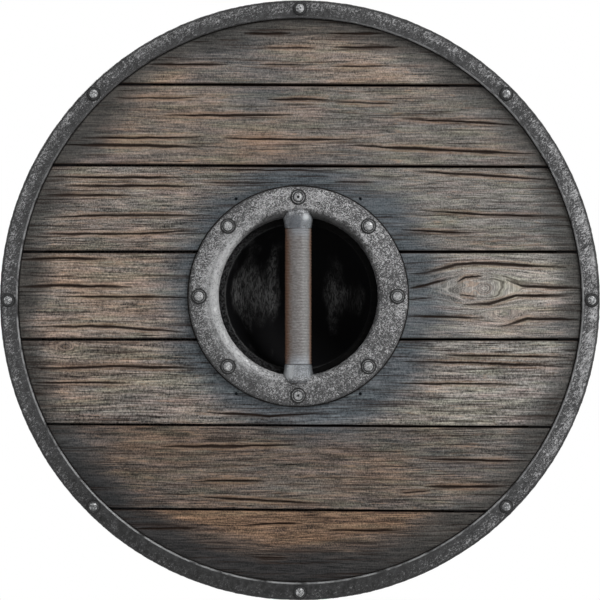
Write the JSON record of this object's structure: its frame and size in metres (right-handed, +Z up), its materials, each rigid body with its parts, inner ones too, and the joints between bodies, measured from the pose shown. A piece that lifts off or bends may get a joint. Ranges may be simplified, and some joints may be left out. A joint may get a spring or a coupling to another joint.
{
  "type": "round larp shield",
  "caption": "Round larp shield: planked foam boards on a stiff core, riveted edging, a ringed hand opening with a hollow boss, and a fixed ribbed grip.",
  "frame": {"origin": "middle of the grip, on the axis of its round bar", "axes": "+Z up along the grip, +Y out of the front, the boss side, +X to the right when looking at the hand side"},
  "size_m": [0.6, 0.0984, 0.6],
  "materials": {
    "hand_planks": "foam that looks like weathered grey-brown planks, with open cracks, knots and dark washes at the edges",
    "front_planks": "foam that looks like weathered grey-brown planks, with open cracks, knots and dark washes at the edges",
    "core": "thin plywood, stained black so that the seams and the hand opening look deep",
    "padding": "closed-cell foam",
    "edging": "dark iron-look foam skin, hammered, with light dry-brushed flecks",
    "ring": "dark iron-look foam skin with heavy pale dry-brushing",
    "boss": "dark iron-look foam skin, hammered, with light dry-brushed flecks",
    "liner": "flat black foam with faint scuffs",
    "grip_wood": "hardwood, oiled",
    "grip_sleeve": "finely ribbed brown sleeve with a grey dry-brushed face",
    "collar": "dark metal look with heavy silver dry-brushing",
    "rivet": "dull dark iron, worn brighter on the dome",
    "rove": "blackened iron",
    "screw": "dull dark iron with a black socket",
    "nut": "dull dark iron"
  },
  "bodies": {
    "root": {"hand_plank_1": "hand_planks", "hand_plank_2": "hand_planks", "hand_plank_3": "hand_planks", "hand_plank_4_left": "hand_planks", "hand_plank_4_right": "hand_planks", "hand_plank_5": "hand_planks", "hand_plank_6": "hand_planks", "hand_plank_7": "hand_planks", "front_plank_1": "front_planks", "front_plank_2": "front_planks", "front_plank_3": "front_planks", "front_plank_4_left": "front_planks", "front_plank_4_right": "front_planks", "front_plank_5": "front_planks", "front_plank_6": "front_planks", "front_plank_7": "front_planks", "core_board": "core", "edge_padding": "padding", "rim_edging": "edging", "hand_ring": "ring", "boss_dome": "boss", "boss_liner": "liner", "grip_bar": "grip_wood", "grip_sleeve": "grip_sleeve", "grip_collar_top": "collar", "grip_collar_bottom": "collar", "rim_rivet_1": "rivet", "rim_rivet_2": "rivet", "rim_rivet_3": "rivet", "rim_rivet_4": "rivet", "rim_rivet_5": "rivet", "rim_rivet_6": "rivet", "rim_rivet_7": "rivet", "rim_rivet_8": "rivet", "rim_rove_1": "rove", "rim_rove_2": "rove", "rim_rove_3": "rove", "rim_rove_4": "rove", "rim_rove_5": "rove", "rim_rove_6": "rove", "rim_rove_7": "rove", "rim_rove_8": "rove", "boss_rivet_1": "rivet", "boss_rivet_2": "rivet", "boss_rivet_3": "rivet", "boss_rivet_4": "rivet", "boss_rivet_5": "rivet", "boss_rivet_6": "rivet", "boss_rove_1": "rove", "boss_rove_2": "rove", "boss_rove_3": "rove", "boss_rove_4": "rove", "boss_rove_5": "rove", "boss_rove_6": "rove", "grip_screw_top": "screw", "grip_screw_bottom": "screw", "grip_nut_top": "nut", "grip_nut_bottom": "nut"}
  },
  "joints": []
}
